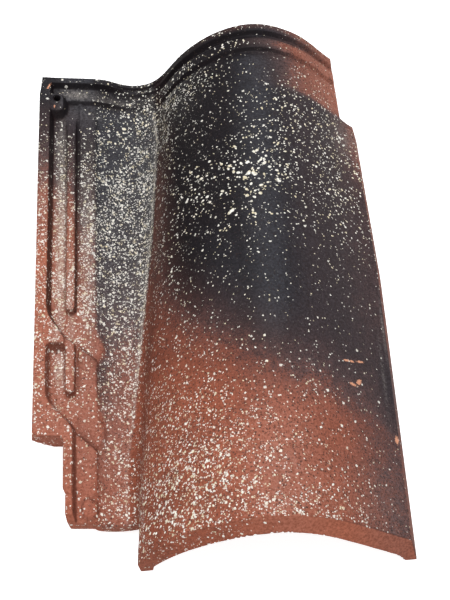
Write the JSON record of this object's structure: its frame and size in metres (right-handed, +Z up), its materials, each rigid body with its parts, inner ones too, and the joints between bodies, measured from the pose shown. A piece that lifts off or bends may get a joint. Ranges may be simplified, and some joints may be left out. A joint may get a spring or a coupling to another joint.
{
  "type": "interlocking clay roof tile",
  "caption": "Fired clay roof tile with a flat water pan beside a rounded cover roll, a side lock on its left edge, a ribbed head lock and a hanging nib beneath.",
  "frame": {"origin": "centre of the tile's box at floor level, as it lies unheld", "axes": "+X across the tile from the side lock to the foot of the roll, +Y up the slope from tail to head, +Z up"},
  "size_m": [0.2824, 0.468, 0.089],
  "materials": {
    "fired_clay": "bare fired clay, smoked black over the head and roll, with cream slip splashed over it"
  },
  "bodies": {
    "root": {"roof_tile": "fired_clay"}
  },
  "joints": []
}
